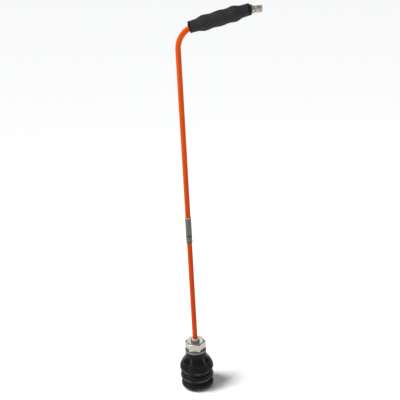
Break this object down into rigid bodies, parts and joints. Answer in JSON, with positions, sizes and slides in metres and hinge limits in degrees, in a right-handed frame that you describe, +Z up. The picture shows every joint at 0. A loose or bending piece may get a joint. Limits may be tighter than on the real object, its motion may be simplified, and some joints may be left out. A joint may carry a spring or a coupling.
{
  "type": "pinpointer probe",
  "caption": "Hand-carried ground probe: bent tube stem with a lobed rubber grip and plug connector, hex fitting, and a fluted search head with a flat foot.",
  "frame": {"origin": "centre of the flat contact plate under the head, on the stem's axis", "axes": "+Z up the stem, +X towards the hand grip, +Y to the left when looking along the grip"},
  "size_m": [0.2204, 0.083, 0.9218],
  "materials": {
    "stem_orange": "orange gloss on a glass-fibre tube",
    "grip_rubber": "fine diamond knurl, charcoal black",
    "head_black": "satin black moulding with fluted bands",
    "sleeve_grey": "matt olive grey",
    "washer_grey": "dark phosphated steel",
    "nickel": "satin nickel plate on brass",
    "brass": "machined",
    "copper_wire": "enamelled copper wire",
    "ferrite": "sintered dark grey",
    "natural_moulding": "undyed nylon",
    "board_green": "solder mask",
    "chip_black": "epoxy body",
    "zinc_steel": "zinc plated"
  },
  "bodies": {
    "probe_frame": {"upper_stem": "stem_orange", "lower_stem": "stem_orange", "joint_spigot": "zinc_steel", "joint_sleeve": "sleeve_grey", "hand_grip": "grip_rubber", "end_bush": "grip_rubber", "connector_shell": "nickel", "connector_insert": "chip_black", "contact_1": "brass", "contact_2": "brass", "contact_3": "brass", "signal_cable": "grip_rubber", "compression_nut": "nickel", "compression_olive": "brass", "hex_bushing": "nickel", "sealing_washer": "washer_grey", "lock_nut": "brass", "cable_grommet": "grip_rubber", "head_cap": "head_black", "sensor_housing": "head_black", "housing_seal": "grip_rubber", "contact_plate": "head_black", "coil_bobbin": "natural_moulding", "coil_winding": "copper_wire", "ferrite_core": "ferrite", "circuit_board": "board_green", "board_spacer_1": "brass", "board_spacer_2": "brass", "board_spacer_3": "brass", "board_screw_1": "zinc_steel", "board_screw_2": "zinc_steel", "board_screw_3": "zinc_steel", "board_chip_1": "chip_black", "board_chip_2": "chip_black", "board_chip_3": "chip_black", "board_chip_4": "chip_black"},
    "clamp_ring": {"clamp_ring": "head_black"},
    "foot_ring": {"foot_ring": "head_black"},
    "joint_collar": {"joint_collar": "sleeve_grey"},
    "coupling_sleeve": {"coupling_sleeve": "nickel"}
  },
  "joints": [
    {"name": "clamp_ring_turn", "type": "hinge", "parent": "probe_frame", "child": "clamp_ring", "pos_m": [0, 0, 0.035], "axis": [0, 0, 1], "range_deg": [0, 90]},
    {"name": "foot_ring_turn", "type": "hinge", "parent": "probe_frame", "child": "foot_ring", "pos_m": [0, 0, 0.009], "axis": [0, 0, 1], "range_deg": [0, 90]},
    {"name": "joint_collar_turn", "type": "hinge", "parent": "probe_frame", "child": "joint_collar", "pos_m": [0, 0, 0.398], "axis": [0, 0, 1], "range_deg": [0, 360]},
    {"name": "coupling_sleeve_turn", "type": "hinge", "parent": "probe_frame", "child": "coupling_sleeve", "pos_m": [0.14586, 0, 0.90802], "axis": [0.999, 0, 0.0436], "continuous": true}
  ]
}
